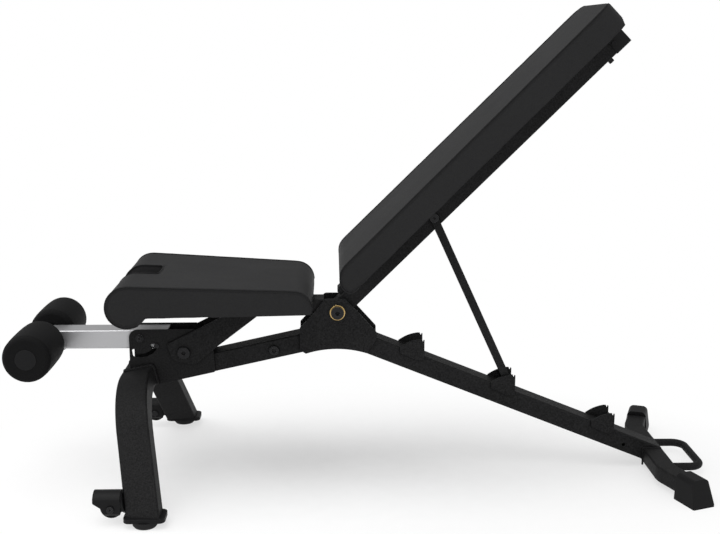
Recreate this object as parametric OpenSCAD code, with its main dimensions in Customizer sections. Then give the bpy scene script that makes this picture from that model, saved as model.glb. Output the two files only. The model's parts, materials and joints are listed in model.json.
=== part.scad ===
// Adjustable weight bench: a folding backrest on a strut, a padded seat and a leg brace with foam rollers.
// Millimetres, +Z up, origin on the floor below the middle of the bench, +X towards the rear stabilizer.

/* [Node] */
// Node to draw, or all

/* [Frame tubes] */
// Width of the main and rear tubes across the bench
tube_w = 50; // [48:1:51]
// Height of the main and rear tubes
tube_h = 38; // [36:1:40]
// Wall of the main and rear tubes
tube_wall = 2; // [1.5:0.5:3]
// Slope of the main tube
main_angle = 12.35; // [11.5:0.05:13]
// Slope of the rear tube
rear_angle = 22.05; // [21.8:0.05:22.3]
// Height of the ridge where both tubes meet
ridge_z = 312.9; // [311:0.1:314]
// Position of that ridge along the bench
ridge_x = -46.8; // [-48:0.1:-45]

/* [Backrest] */
// Angle of the backrest above level, as drawn
rest_angle = 44.7; // [44:0.1:45.4]
// Outer size of the square backrest tube
spine_size = 38; // [36:1:40]
// Length of the backrest tube from the pivot to its head end
spine_length = 783; // [760:1:800]
// Half width of the pad at its lower end
pad_half_low = 142; // [130:1:150]
// Half width of the pad at its head end
pad_half_head = 118; // [105:1:130]
// Thickness of the pad above its board
pad_thick = 38.7; // [30:0.1:45]
// Distance from the pivot to the lower end of the pad
pad_start = 60.3; // [58:0.1:64]
// Distance from the pivot to the head end of the pad
pad_end = 791; // [785:1:805]

/* [Strut] */
// Distance from the backrest pivot to the strut pivot
strut_along = 272.3; // [272:0.1:273]
// Width of each flat strut bar
strut_bar_w = 16; // [14:1:18]
// Thickness of each flat strut bar
strut_bar_t = 4; // [3:0.5:4.5]
// Diameter of the strut foot rod
foot_rod_d = 14; // [12:0.5:14]

/* [Seat] */
// Half width of the seat pad at the front
seat_half_front = 169; // [155:1:175]
// Half width of the seat pad at the rear
seat_half_rear = 141; // [130:1:150]
// Radius of the roll along the front of the seat
seat_roll_r = 41.5; // [38:0.5:42]
// Half width of the notch at the front of the seat
seat_notch = 38.8; // [34:0.2:42]

/* [Leg brace] */
// Diameter of each foam roller
roller_d = 96; // [85:1:98]
// Length of each foam roller
roller_l = 125; // [110:1:130]
// Travel of the brace along itself, for the lock
lock_travel = 8.7; // [7:0.1:9]
// Fold angle of the brace
fold_angle = 82; // [80:1:84]

/* [Feet] */
// Width of the front leg tube along the bench
leg_w = 63; // [60:1:65]
// Thickness of the front leg tube
leg_t = 38; // [34:1:40]
// Lean of each front leg from upright
leg_lean = 35; // [34:0.5:36]
// Bend radius of the front leg, at its middle line
leg_bend = 160; // [150:1:170]
// Transport wheel diameter
wheel_d = 41; // [38:1:42]

/* [Hidden] */
$fn = 48;
eps = 0.01;
big = 400;
half_w = tube_w / 2;
// Backrest pivot, strut pivot and brace pivot in side view
pivot = [-58, 340];
brace_pivot = [-457.7, 289.3];
bracket_bolt_at = [-369, 259.5];
side_bolt_at = [-187, 261];
// Strut
strut_top = [pivot[0] + strut_along * cos(rest_angle), pivot[1] + strut_along * sin(rest_angle)];
catch_wall = 3;
catch_half = 25;
catch_t = 3;
catch_rear = [119, 306.8, 516];
catch_front = [69, 257, 467.7];
foot_gap = 0.12;
foot_d = foot_rod_d / 2 + foot_gap;
foot_x = catch_rear[1] - catch_wall - foot_d;
foot_z = rear_top(foot_x) + foot_d / cos(rear_angle);
strut_dx = foot_x - strut_top[0];
strut_dz = foot_z - strut_top[1];
strut_len = sqrt(strut_dx * strut_dx + strut_dz * strut_dz);
strut_angle = atan2(-strut_dz, strut_dx);
// Plates
plate_t = 4;
pivot_plate_t = 5;
arm_t = 4;
// Rear stabilizer
stab_x = 600;
stab_w = 40;
stab_z0 = 12;
stab_z1 = 43;
stab_bend_angle = 20.8;
stab_bend_r = 60;
stab_knee = 123;
// Front leg
leg_tilt = main_angle;
leg_x0 = -415;
leg_top = 231;
leg_mid = leg_top - leg_t / 2;
leg_foot = [272, 17];
leg_corner = leg_foot[0] - (leg_mid - leg_foot[1]) * tan(leg_lean);
leg_turn = 90 - leg_lean;
leg_tangent = leg_bend * tan(leg_turn / 2);
leg_run = (leg_mid - leg_foot[1]) / cos(leg_lean) - leg_tangent;
// Leg brace
brace_w = 49.4;
brace_h = 38;
brace_z = 285.5;
brace_tail = -402;
roller_x = -650.5;
roller_z = 285;
brace_head = roller_x - 22;
bush_d = 16;
pin_at = [-424.2, 273.2];
pin_r = sqrt(pow(pin_at[0] - brace_pivot[0], 2) + pow(pin_at[1] - brace_pivot[1], 2));
pin_a = atan2(pin_at[1] - brace_pivot[1], pin_at[0] - brace_pivot[0]);
slot_w = 8;
// Wheels and feet
wheel_x = -478.7;
wheel_z = 33.6;
wheel_y = 265;
foot_pad_x = -416;
foot_pad_y = 281;
foot_pad_r = 23.4;
cap_z0 = 12;
cap_z1 = 20;
// Seat
rail_z0 = 341;
rail_z1 = 366;
board_t = 9;
seat_z0 = rail_z1 + board_t + 0.3;
seat_rear_x = -106;
seat_roll = [-455.7, 385.7];
notch_x = -412;

function main_top(x) = ridge_z + tan(main_angle) * (x - ridge_x);
function rear_top(x) = ridge_z - tan(rear_angle) * (x - ridge_x);

// ---- helpers -------------------------------------------------------------------------------------

// Rectangle with true round corners, centred
module rounded(w, h, r) {
  square([w - 2 * r, h], center = true);
  square([w, h - 2 * r], center = true);
  for (sx = [-1, 1], sy = [-1, 1])
    translate([sx * (w / 2 - r), sy * (h / 2 - r)]) circle(r);
}

function unit(v) = v / norm(v);

// Points of one rounded corner at b, between a and c
function corner(a, b, c, r, n = 8) =
  let (u = unit(a - b), v = unit(c - b), half = acos(u * v) / 2)
  let (mid = b + unit(u + v) * r / sin(half), s = b + u * r / tan(half) - mid, e = b + v * r / tan(half) - mid)
  let (a0 = atan2(s[1], s[0]), turn = atan2(s[0] * e[1] - s[1] * e[0], s * e))
  [for (i = [0:n]) mid + r * [cos(a0 + turn * i / n), sin(a0 + turn * i / n)]];

// The same corners on the other side of the bench, in reverse order
function flip(p) = [for (i = [len(p) - 1:-1:0]) [p[i][0], -p[i][1], p[i][2]]];

// Outline from corners [x, y, radius]; a radius of 0 leaves the corner sharp
function outline(p) = let (n = len(p)) [for (i = [0:n - 1])
  let (a = p[(i + n - 1) % n], b = p[i], c = p[(i + 1) % n])
  for (q = b[2] == 0 ? [[b[0], b[1]]] : corner([a[0], a[1]], [b[0], b[1]], [c[0], c[1]], b[2])) q];

// Hollow rectangular tube section
module tube_section(w, h, t, r = 3) {
  difference() {
    rounded(w, h, r);
    rounded(w - 2 * t, h - 2 * t, max(r - t, 0.6));
  }
}

// Side-view outline made solid between y and y + t
module side(y, t) {
  translate([0, y + t, 0]) rotate([90, 0, 0]) linear_extrude(t) children();
}

// Cylinder across the bench between y and y + l
module across(at, y, l, d, faces = 96) {
  translate([at[0], y + l, at[1]]) rotate([90, 0, 0]) cylinder(d = d, h = l, $fn = faces);
}

// Frame of the backrest: x along its tube, z away from it
module on_backrest() {
  translate([pivot[0], 0, pivot[1]]) rotate([0, -rest_angle, 0]) children();
}

// Frame of the strut: x from its pivot to its foot
module on_strut() {
  translate([strut_top[0], 0, strut_top[1]]) rotate([0, strut_angle, 0]) children();
}

// Both sides of the bench
module both() {
  children();
  mirror([0, 1, 0]) children();
}

// Disc with a rounded rim, flat side down at z = 0
module soft_disc(r, h, edge) {
  cylinder(r = r - 2, h = 1, $fn = 32);
  translate([0, 0, 3]) cylinder(r1 = r, r2 = r - 1, h = 1, $fn = 32);
  translate([0, 0, h - edge]) rotate_extrude($fn = 32) intersection() {
    translate([r - edge, 0]) circle(edge, $fn = 24);
    translate([0, -min(edge, h - edge)]) square([r, 2 * edge]);
  }
}

// ---- frame tubes ---------------------------------------------------------------------------------

module main_tube() color("#26272a") {
  len = 384;
  difference() {
    intersection() {
      translate([ridge_x, 0, ridge_z]) rotate([0, -main_angle, 0])
        translate([-len, 0, -tube_h / 2]) rotate([90, 0, 90])
          linear_extrude(len + 20) tube_section(tube_w, tube_h, tube_wall);
      translate([ridge_x, 0, ridge_z]) rotate([0, (rear_angle - main_angle) / 2, 0])
        translate([-big - 100, -big / 2, -big / 2]) cube([big + 100, big, big]);
      leg_frame() translate([leg_w / 2, -big / 2, 0]) cube([big * 2, big, big]);
    }
    across(side_bolt_at, -half_w - 1, 6, 8.4);
    across(side_bolt_at, half_w - 5, 6, 8.4);
  }
}

module rear_tube() color("#26272a") {
  len = (618 - ridge_x) / cos(rear_angle) + 30;
  difference() {
    intersection() {
      translate([ridge_x, 0, ridge_z]) rotate([0, rear_angle, 0])
        translate([-20, 0, -tube_h / 2]) rotate([90, 0, 90])
          linear_extrude(len) tube_section(tube_w, tube_h, tube_wall);
      translate([ridge_x, 0, ridge_z]) rotate([0, (rear_angle - main_angle) / 2, 0])
        translate([0, -big / 2, -big]) cube([900, big, 2 * big]);
      translate([-200, -big / 2, -20]) cube([818, big, big]);
    }
    translate([stab_x - stab_w / 2, -100, stab_z0]) cube([stab_w, 200, stab_z1 - stab_z0]);
    translate([stab_x - stab_w / 2, -100, -20]) cube([stab_w + 20, 200, 20 + stab_z0 + eps]);
    across([538, 51], -half_w - 1, 4, 7);
  }
}

// ---- plates --------------------------------------------------------------------------------------

pivot_arc = [for (i = [0:16]) let (a = 90 - 17.6 + 35.2 * i / 16) [-60.5 + 205 * cos(a), 59 + 205 * sin(a), 0]];
pivot_path = concat([[-134.4, 262, 3], [-134.4, 308.4, 4], [-110, 334, 20], [-84, 368, 8], [-42, 368, 8],
  [-8, 331, 20], [21.5, 298, 5], [21.5, 284, 8]], pivot_arc);

module pivot_outline() difference() {
  polygon(outline(pivot_path));
  translate(pivot) circle(d = 24, $fn = 96);
}

module pivot_plate_near() color("#222326") side(-half_w - pivot_plate_t, pivot_plate_t) pivot_outline();
module pivot_plate_far() color("#222326") side(half_w, pivot_plate_t) pivot_outline();

// Path of the lock pin, widened to the slot width
module lock_slot() {
  n = 20;
  r0 = pin_r - slot_w / 2;
  r1 = pin_r + slot_w / 2;
  arc = [for (i = [0:n]) pin_a - fold_angle * i / n];
  translate(brace_pivot) {
    polygon(concat([for (a = arc) r0 * [cos(a), sin(a)]], [for (i = [n:-1:0]) r1 * [cos(arc[i]), sin(arc[i])]]));
    for (turn = [0, -fold_angle]) rotate(turn) translate(pin_at - brace_pivot) {
      circle(d = slot_w);
      translate([-lock_travel, -slot_w / 2]) square([lock_travel, slot_w]);
      translate([-lock_travel, 0]) circle(d = slot_w);
    }
  }
}

front_path = [[-479, 222, 3], [-479, 306.5, 17], [-348, 306.5, 4], [-310, 262, 8], [-307, 217.2, 4],
  [-426.2, 191.1, 3], [-427.4, 226.3, 13]];

module front_outline() difference() {
  polygon(outline(front_path));
  translate(brace_pivot) circle(d = 10, $fn = 96);
  translate(bracket_bolt_at) circle(d = 12, $fn = 96);
  lock_slot();
}

// Clearance for the bow's level run, which the plates stand on
module bow_seat() leg_frame() translate([0, -60, leg_mid]) rotate([-90, 0, 0]) linear_extrude(120)
  rounded(leg_w, leg_t, 4);

module front_plate_near() color("#222326") difference() {
  side(-half_w - plate_t, plate_t) front_outline();
  bow_seat();
}

module front_plate_far() color("#222326") difference() {
  side(half_w, plate_t) front_outline();
  bow_seat();
}

module arm_outline() {
  difference() {
    polygon(outline([[-403, 277, 4], [-225, 366, 0], [-178, 366, 0], [-306, 268, 30], [-348, 233, 20],
      [-392, 243, 14]]));
    translate(bracket_bolt_at) circle(d = 12, $fn = 96);
  }
}

module seat_arm_near() color("#26272a") side(-half_w - plate_t - arm_t, arm_t) arm_outline();
module seat_arm_far() color("#26272a") side(half_w + plate_t, arm_t) arm_outline();

// ---- seat ----------------------------------------------------------------------------------------

rail_x0 = -407;
rail_x1 = -85;
seat_screw_x = [-360, -150];

module seat_rail() color("#26272a") difference() {
  translate([rail_x0, 0, (rail_z0 + rail_z1) / 2]) rotate([90, 0, 90])
    linear_extrude(rail_x1 - rail_x0) tube_section(tube_w, rail_z1 - rail_z0, 2, 2.5);
  for (x = seat_screw_x) translate([x, 0, rail_z0 - 5]) cylinder(d = 8, h = 40, $fn = 64);
}

module seat_rail_plug() color("#1b1b1c") {
  translate([rail_x0, 0, (rail_z0 + rail_z1) / 2]) rotate([90, 0, 90]) {
    linear_extrude(14) rounded(tube_w - 4, rail_z1 - rail_z0 - 4, 0.6);
    translate([0, 0, -2]) linear_extrude(2) rounded(tube_w, rail_z1 - rail_z0, 2.5);
  }
}

seat_board_path = [[seat_rear_x - 8, 133, 18], [notch_x + 4, 156, 6]];

module seat_board() color("#3a2f25") difference() {
  translate([0, 0, rail_z1]) linear_extrude(board_t)
    polygon(outline(concat(seat_board_path, flip(seat_board_path))));
  for (x = seat_screw_x) translate([x, 0, rail_z1 - 1]) cylinder(d = 8, h = 7, $fn = 64);
}

seat_rear_r = 36;

module seat_pad() color("#2e2f31") difference() {
  union() {
    hull() {
      for (s = [-1, 1]) {
        intersection() {
          translate([seat_rear_x - seat_rear_r, s * (seat_half_rear - 12), 411.5 - seat_rear_r]) rotate([90, 0, 0])
            rotate_extrude($fn = 48) translate([seat_rear_r - 12, 0]) circle(12, $fn = 24);
          translate([-300, -300, seat_z0]) cube(600);
        }
        translate([seat_roll[0], s * (seat_half_front - 16), seat_z0]) soft_disc(16, 426.5 - seat_z0, 14);
      }
    }
    hull() for (s = [-1, 1])
      translate([seat_roll[0], s * (seat_half_front - 8), seat_roll[1]]) rotate([90, 0, 0])
        rotate_extrude($fn = 48) translate([seat_roll_r - 8, 0]) circle(8, $fn = 24);
  }
  translate([-600, -seat_notch, 300]) cube([600 + notch_x, 2 * seat_notch, 200]);
}

module seat_screws() color("#4a4b4d") for (x = seat_screw_x) translate([x, 0, 0]) {
  translate([0, 0, rail_z0 - 5]) cylinder(d = 15, h = 5);
  translate([0, 0, rail_z0]) cylinder(d = 8, h = rail_z1 - rail_z0 + 6, $fn = 64);
}

// ---- front leg -----------------------------------------------------------------------------------

module leg_frame() {
  translate([leg_x0, 0, 0]) rotate([0, -leg_tilt, 0]) children();
}

// Section lies across the run: first axis is the bench direction
module leg_section(g = 0) tube_section(leg_w + 2 * g, leg_t + 2 * g, 2.5 + 2 * g, 4 + g);

module front_leg_bow() color("#26272a") difference() {
  leg_shape();
  translate([-700, -500, -200]) cube([500, 1000, 200 + cap_z1]);
}

module leg_shape() leg_frame() {
  flat = leg_corner - leg_tangent + 0.5;
  translate([0, -flat, leg_mid]) rotate([-90, 0, 0]) linear_extrude(2 * flat) leg_section();
  both() {
    translate([0, leg_corner - leg_tangent, leg_mid - leg_bend]) rotate([0, 90, 0]) rotate([0, 0, 180])
      rotate([0, 0, -leg_turn]) rotate_extrude(angle = leg_turn, $fn = 96)
        translate([leg_bend, 0]) rotate(90) leg_section(0.15);
    translate([0, leg_foot[0], leg_foot[1]]) rotate([leg_lean, 0, 0])
      translate([0, 0, -60]) linear_extrude(leg_run + 60.5) leg_section();
  }
}

// Level end cap under each leg, with a tongue inside the tube
module leg_cap_body() {
  translate([foot_pad_x, leg_foot[0] + 4, cap_z0]) linear_extrude(cap_z1 - cap_z0) rounded(77, 50, 12);
  intersection() {
    leg_frame() translate([0, leg_foot[0], leg_foot[1]]) rotate([leg_lean, 0, 0])
      translate([0, 0, -40]) linear_extrude(100) rounded(leg_w - 5, leg_t - 5, 1.5);
    translate([-600, 0, cap_z1 - 1]) cube([400, 400, 13]);
  }
}

module leg_cap_far() color("#18191a") leg_cap_body();
module leg_cap_near() color("#18191a") mirror([0, 1, 0]) leg_cap_body();

module foot_pads() color("#161617") both() translate([foot_pad_x, foot_pad_y, 0]) {
  cylinder(r1 = foot_pad_r - 3, r2 = foot_pad_r, h = 4);
  translate([0, 0, 4]) cylinder(r = foot_pad_r, h = cap_z0 - 4);
}

// ---- transport wheels ----------------------------------------------------------------------------

fork_half = 20;
wheel_w = 26;
fork_path = [[-511, 45, 2], [-511, 70, 2], [-461, 70, 2], [-461, 21, 3], [-472, 18, 6], [-488, 18, 12],
  [-496, 35, 4]];

module wheel_fork_body() difference() {
  union() {
    intersection() {
      side(wheel_y - fork_half, 2 * fork_half) polygon(outline(fork_path));
      translate([-520, wheel_y, 39]) rotate([0, 90, 0]) cylinder(d = 49, h = 80);
    }
    translate([-462, wheel_y, 39]) rotate([0, 90, 0]) cylinder(d = 37.5, h = 30);
  }
  across([wheel_x, wheel_z], wheel_y - wheel_w / 2 - 0.8, wheel_w + 1.6, wheel_d + 4);
  translate([wheel_x - wheel_d / 2 - 2, wheel_y - wheel_w / 2 - 0.8, -10])
    cube([wheel_d + 4, wheel_w + 1.6, wheel_z + 10]);
  across([wheel_x, wheel_z], wheel_y - 40, 80, 8);
  leg_frame() translate([-leg_w / 2, 0, -big / 2]) cube([big, big, big]);
}

module wheel_fork_far() color("#1d1e20") wheel_fork_body();
module wheel_fork_near() color("#1d1e20") mirror([0, 1, 0]) wheel_fork_body();

module wheel_axles() color("#7d7f82") both() {
  across([wheel_x, wheel_z], wheel_y - fork_half, 2 * fork_half, 8);
  difference() {
    across([wheel_x, wheel_z], wheel_y + fork_half, 3.5, 13);
    across([wheel_x, wheel_z], wheel_y + fork_half + 1.5, 3, 4);
  }
  across([wheel_x, wheel_z], wheel_y - fork_half - 3, 3, 13);
}

module wheel_body() difference() {
  translate([wheel_x, wheel_y + wheel_w / 2, wheel_z]) rotate([90, 0, 0]) rotate_extrude($fn = 96)
    polygon([[4.06, 0], [9, 0], [10, 2], [wheel_d / 2 - 4, 2], [wheel_d / 2 - 3, 0], [wheel_d / 2 - 1.5, 0],
      [wheel_d / 2, 2], [wheel_d / 2, wheel_w - 2], [wheel_d / 2 - 1.5, wheel_w], [wheel_d / 2 - 3, wheel_w],
      [wheel_d / 2 - 4, wheel_w - 2], [10, wheel_w - 2], [9, wheel_w], [4.06, wheel_w]]);
}

module wheel_far() color("#161617") wheel_body();
module wheel_near() color("#161617") mirror([0, 1, 0]) wheel_body();

// ---- rear stabilizer -----------------------------------------------------------------------------

stab_mid = (stab_z0 + stab_z1) / 2;
stab_tan = stab_bend_r * tan(stab_bend_angle / 2);
shoe_at = 87.7;
shoe_l = 62;
shoe_w = 49.6;
shoe_h = 52;

module stab_section(g = 0) tube_section(stab_w + 2 * g, stab_z1 - stab_z0 + 2 * g, 2.5 + 2 * g, 4 + g);

// Frame of one stabilizer arm: y along the arm from the knee
module stab_arm() translate([stab_x, stab_knee, 0]) rotate([0, 0, -stab_bend_angle]) children();

module rear_stabilizer() color("#26272a") {
  straight = stab_knee - stab_tan + 0.5;
  translate([stab_x, straight, stab_mid]) rotate([90, 0, 0]) linear_extrude(2 * straight) stab_section();
  both() {
    translate([stab_x + stab_bend_r, straight - 0.5, stab_mid]) rotate([0, 0, 180 - stab_bend_angle])
      rotate_extrude(angle = stab_bend_angle, $fn = 96) translate([stab_bend_r, 0]) stab_section(0.15);
    stab_arm() translate([0, stab_tan - 0.5, stab_mid]) rotate([-90, 0, 0])
      linear_extrude(shoe_at + shoe_l / 2 - 19.5 - stab_tan) stab_section();
  }
}

module shoe_body() difference() {
  hull() stab_arm() {
    translate([0, shoe_at, 5]) for (sx = [-1, 1], sy = [-1, 1])
      translate([sx * (shoe_w / 2 - 3), sy * (shoe_l / 2 - 3), -5]) cylinder(r = 3, h = 5, $fn = 24);
    translate([0, shoe_at, 0]) for (sx = [-1, 1])
      translate([sx * (shoe_w / 2 - 15), shoe_l / 2 - 16, shoe_h - 11]) rotate([90, 0, 0])
        cylinder(r = 11, h = shoe_l - 16, $fn = 32);
  }
  stab_arm() translate([0, shoe_at - shoe_l / 2 - 10, stab_mid]) rotate([-90, 0, 0])
    linear_extrude(shoe_l - 10) rounded(stab_w, stab_z1 - stab_z0, 4, $fn = 24);
}

module stabilizer_shoe_far() color("#2c2d2f") shoe_body();
module stabilizer_shoe_near() color("#2c2d2f") mirror([0, 1, 0]) shoe_body();

handle_y = 69;
handle_x = 691;
handle_r = 25;
handle_d = 16;
handle_z = 19;

module rear_handle() color("#1f2022") both() {
  x0 = stab_x + stab_w / 2;
  translate([x0, handle_y, handle_z]) rotate([0, 90, 0]) cylinder(d = handle_d, h = handle_x - handle_r - x0);
  translate([handle_x - handle_r, handle_y - handle_r, handle_z])
    rotate_extrude(angle = 90, $fn = 96) translate([handle_r, 0]) circle(d = handle_d);
  translate([handle_x, 0, handle_z]) rotate([-90, 0, 0]) cylinder(d = handle_d, h = handle_y - handle_r);
}

// ---- catches -------------------------------------------------------------------------------------

module cheek_outline(i) {
  xf = catch_front[i];
  xr = catch_rear[i];
  zf = rear_top(xf);
  zr = rear_top(xr);
  polygon([[xf, zf - 12], [xf, zf + 0.5], [xf + 5, zf + 3.8], [xf + 10, zf + 6.8], [xf + 15, zf + 9.4],
    [xf + 20, zf + 11.5], [xf + 25, zf + 13.2], [xf + 30, zf + 14.6], [xf + 35, zf + 15.6],
    [xr - 10, zf + 16.2], [xr - 5.6, zf + 16], [xr - 4.6, zf + 13], [xr - 3.6, zf + 11],
    [xr - 2.6, zf + 12], [xr - 1.9, zf + 15], [xr, zf + 14.4], [xr, zr - 7], [xr - 18, zr - 7]]);
}

module catch_body(i) {
  xr = catch_rear[i];
  zr = rear_top(xr);
  side(-half_w - catch_t, catch_t) cheek_outline(i);
  side(half_w, catch_t) cheek_outline(i);
  difference() {
    translate([xr - catch_wall, -half_w, zr - 20]) cube([catch_wall, tube_w, 20 + 21]);
    translate([ridge_x, 0, ridge_z]) rotate([0, rear_angle, 0])
      translate([0, -50, -tube_h]) cube([900, 100, tube_h]);
  }
}

module catch_upright() color("#202124") catch_body(0);
module catch_incline() color("#202124") catch_body(1);
module catch_flat() color("#202124") catch_body(2);

// ---- fasteners of the frame ----------------------------------------------------------------------

pivot_d = 16;
sleeve_d = 22;

module pivot_bushes() color("#b58a3a") both() difference() {
  union() {
    across(pivot, half_w, pivot_plate_t, 24);
    across(pivot, half_w + pivot_plate_t, 1.5, 31);
  }
  across(pivot, half_w - 1, 10, pivot_d);
}

module pivot_bolt() color("#3a3b3d") difference() {
  union() {
    across(pivot, -half_w - pivot_plate_t - 1.5, tube_w + 2 * pivot_plate_t + 3 + 13, pivot_d);
    across(pivot, -half_w - pivot_plate_t - 1.5 - 6, 6, 26);
  }
  across(pivot, -half_w - pivot_plate_t - 1.5 - 7, 6, 10, 6);
}

module pivot_nut() color("#3a3b3d") difference() {
  across(pivot, half_w + pivot_plate_t + 1.5, 11, 27, 6);
  across(pivot, half_w, 30, pivot_d);
}

module bracket_bolt() color("#34353a") {
  at = bracket_bolt_at;
  y = half_w + plate_t + arm_t;
  across(at, -y, 2 * y, 12);
  difference() {
    across(at, -y - 5, 5, 24);
    across(at, -y - 6, 4.5, 10, 6);
  }
  across(at, y, 9, 21, 6);
}

module brace_pivot_bolt() color("#34353a") {
  y = half_w + plate_t;
  across(brace_pivot, -y, 2 * y, 10);
  across(brace_pivot, -y - 1.5, 1.5, 16);
  difference() {
    across(brace_pivot, -y - 5, 3.5, 9.4);
    across(brace_pivot, -y - 6, 3.5, 5, 6);
  }
  across(brace_pivot, y, 7, 17, 6);
}

module side_bolts() color("#34353a") both() {
  across(side_bolt_at, half_w - 3, 3, 8.4);
  difference() {
    across(side_bolt_at, half_w, 5, 19);
    across(side_bolt_at, half_w + 2, 4, 10);
  }
}

// ---- backrest ------------------------------------------------------------------------------------

hub_d = 30;

module pivot_sleeve() color("#8d8f92") difference() {
  across(pivot, -24.7, 49.4, sleeve_d);
  across(pivot, -30, 60, pivot_d + 0.1);
}

module backrest_hub() color("#26272a") difference() {
  across(pivot, -24.6, 49.2, hub_d);
  across(pivot, -30, 60, sleeve_d + 0.1);
}

// Rest block welded on the tube below the lower end of the pad
rest_path = [[28, 18], [28, 28], [33, 33], [66, 33], [66, 18]];

module backrest_tube() color("#26272a") difference() {
  on_backrest() {
    translate([-15, 0, 0]) rotate([90, 0, 90])
      linear_extrude(spine_length + 15) tube_section(spine_size, spine_size, 2, 3);
    side(-14, 28) polygon(rest_path);
  }
  across(pivot, -30, 60, hub_d);
  across(strut_top, -30, 60, 10);
  on_backrest() translate([cap_bolt_x, 0, 0]) rotate([90, 0, 0]) cylinder(d = 6, h = 100, center = true);
  on_backrest() translate([bumper_x, 0, -40]) cylinder(d = 6, h = 40);
}

cap_x = 750;
cap_bolt_x = 757;
bumper_x = 734;
bracket_x = [190, 640];
bracket_half = 100;
bracket_w = 32;
spine_half = spine_size / 2;
board_n = 28;
screw_y = 78;

module backrest_end_cap() color("#3b3c3e") on_backrest() {
  translate([cap_x, 0, 0]) rotate([90, 0, 90]) linear_extrude(spine_length - cap_x) difference() {
    rounded(spine_size + 3, spine_size + 3, 4);
    rounded(spine_size, spine_size, 3);
  }
  translate([spine_length, 0, 0]) rotate([90, 0, 90]) linear_extrude(2.5)
    rounded(spine_size + 3, spine_size + 3, 4);
  for (s = [-1, 1]) translate([cap_bolt_x, s * (spine_half + 1.5), 0]) rotate([-90 * s, 0, 0])
    cylinder(d = 10, h = 2.5);
}

module backrest_bumper() color("#161617") on_backrest() translate([bumper_x, 0, 0]) {
  translate([0, 0, -spine_half - 9]) cylinder(d = 11, h = 9);
  translate([0, 0, -spine_half]) cylinder(d = 6, h = 6, $fn = 64);
}

module backrest_brackets() color("#222326") on_backrest() for (x = bracket_x) translate([x, 0, 0]) {
  difference() {
    translate([-bracket_w / 2, -bracket_half, spine_half])
      cube([bracket_w, 2 * bracket_half, board_n - spine_half]);
    translate([-bracket_w / 2 + 3, -bracket_half - 1, spine_half - 1])
      cube([bracket_w - 6, 2 * bracket_half + 2, board_n - spine_half - 2]);
    for (s = [-1, 1]) translate([0, s * screw_y, 0]) cylinder(d = 8, h = 60, $fn = 64);
  }
}

module backrest_screws() color("#4a4b4d") on_backrest() for (x = bracket_x, s = [-1, 1])
  translate([x, s * screw_y, 0]) {
    translate([0, 0, board_n - 3 - 4.5]) cylinder(d = 14, h = 4.5);
    translate([0, 0, board_n - 3]) cylinder(d = 8, h = 9, $fn = 64);
  }

// The pad's lower end is a roll in front of the board's edge
pad_roll_r = 25.2;
pad_n0 = board_n + board_t + 0.3;

backrest_board_path = [[pad_end - 8, pad_half_head - 8, 24], [pad_start + 2 * pad_roll_r, pad_half_low - 8, 6]];

module backrest_board() color("#3a2f25") on_backrest() difference() {
  translate([0, 0, board_n]) linear_extrude(board_t)
    polygon(outline(concat(backrest_board_path, flip(backrest_board_path))));
  for (x = bracket_x, s = [-1, 1]) translate([x, s * screw_y, 0]) cylinder(d = 8, h = board_n + 6, $fn = 64);
}

module backrest_pad() color("#2e2f31") on_backrest() {
  hull() for (s = [-1, 1]) {
    translate([pad_start + pad_roll_r + 6, s * (pad_half_low - 14), pad_n0]) soft_disc(14, pad_thick, 6);
    translate([pad_end - 30, s * (pad_half_head - 30), pad_n0]) soft_disc(30, pad_thick, 7);
  }
  hull() for (s = [-1, 1])
    translate([pad_start + pad_roll_r, s * (pad_half_low - 8), pad_n0 + pad_thick - pad_roll_r]) rotate([90, 0, 0])
      rotate_extrude($fn = 48) translate([pad_roll_r - 8, 0]) circle(8, $fn = 24);
}

// ---- strut ---------------------------------------------------------------------------------------

bar_in = spine_half + 0.3;
strut_sleeve_d = 13;

module strut_bolt() color("#34353a") {
  y = bar_in + strut_bar_t + 0.2;
  across(strut_top, -y, 2 * y, 10);
  difference() {
    across(strut_top, -y - 3, 3, 18);
    across(strut_top, -y - 4, 3, 6, 6);
  }
  across(strut_top, y, 3, 18);
}

module strut_sleeve() color("#8d8f92") both() difference() {
  across(strut_top, spine_half + 0.05, bar_in - spine_half + strut_bar_t, strut_sleeve_d);
  across(strut_top, spine_half - 1, 10, 10.1);
}

module strut_bar() difference() {
  on_strut() translate([0, bar_in + strut_bar_t, 0]) rotate([90, 0, 0]) linear_extrude(strut_bar_t) {
    translate([0, -strut_bar_w / 2]) square([strut_len, strut_bar_w]);
    circle(d = strut_bar_w);
    translate([strut_len, 0]) circle(d = foot_rod_d);
    translate([strut_len - 12, -foot_rod_d / 2]) square([12, foot_rod_d]);
  }
  across(strut_top, 0, 60, strut_sleeve_d + 0.1);
  on_strut() translate([strut_len, 0, 0]) strut_tip();
}

// Keeps the end of each bar inside the round of the foot rod
module strut_tip() difference() {
  translate([-10, -60, -20]) cube([30, 120, 40]);
  translate([-30, -60, -foot_rod_d / 2]) cube([30, 120, foot_rod_d]);
  rotate([90, 0, 0]) cylinder(d = foot_rod_d, h = 140, center = true, $fn = 96);
}

module strut_bar_far() color("#202124") strut_bar_cut();
module strut_bar_near() color("#202124") mirror([0, 1, 0]) strut_bar_cut();

module strut_bar_cut() difference() {
  strut_bar();
  across([foot_x, foot_z], 0, 60, 8);
}

module strut_foot_rod() color("#34353a") {
  across([foot_x, foot_z], -bar_in, 2 * bar_in, foot_rod_d);
  across([foot_x, foot_z], -bar_in - strut_bar_t, 2 * (bar_in + strut_bar_t), 8);
}

// ---- leg brace -----------------------------------------------------------------------------------

module brace_bush() color("#8d8f92") difference() {
  across(brace_pivot, -24.9, 49.8, bush_d);
  across(brace_pivot, -30, 60, 10.1);
}

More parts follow.
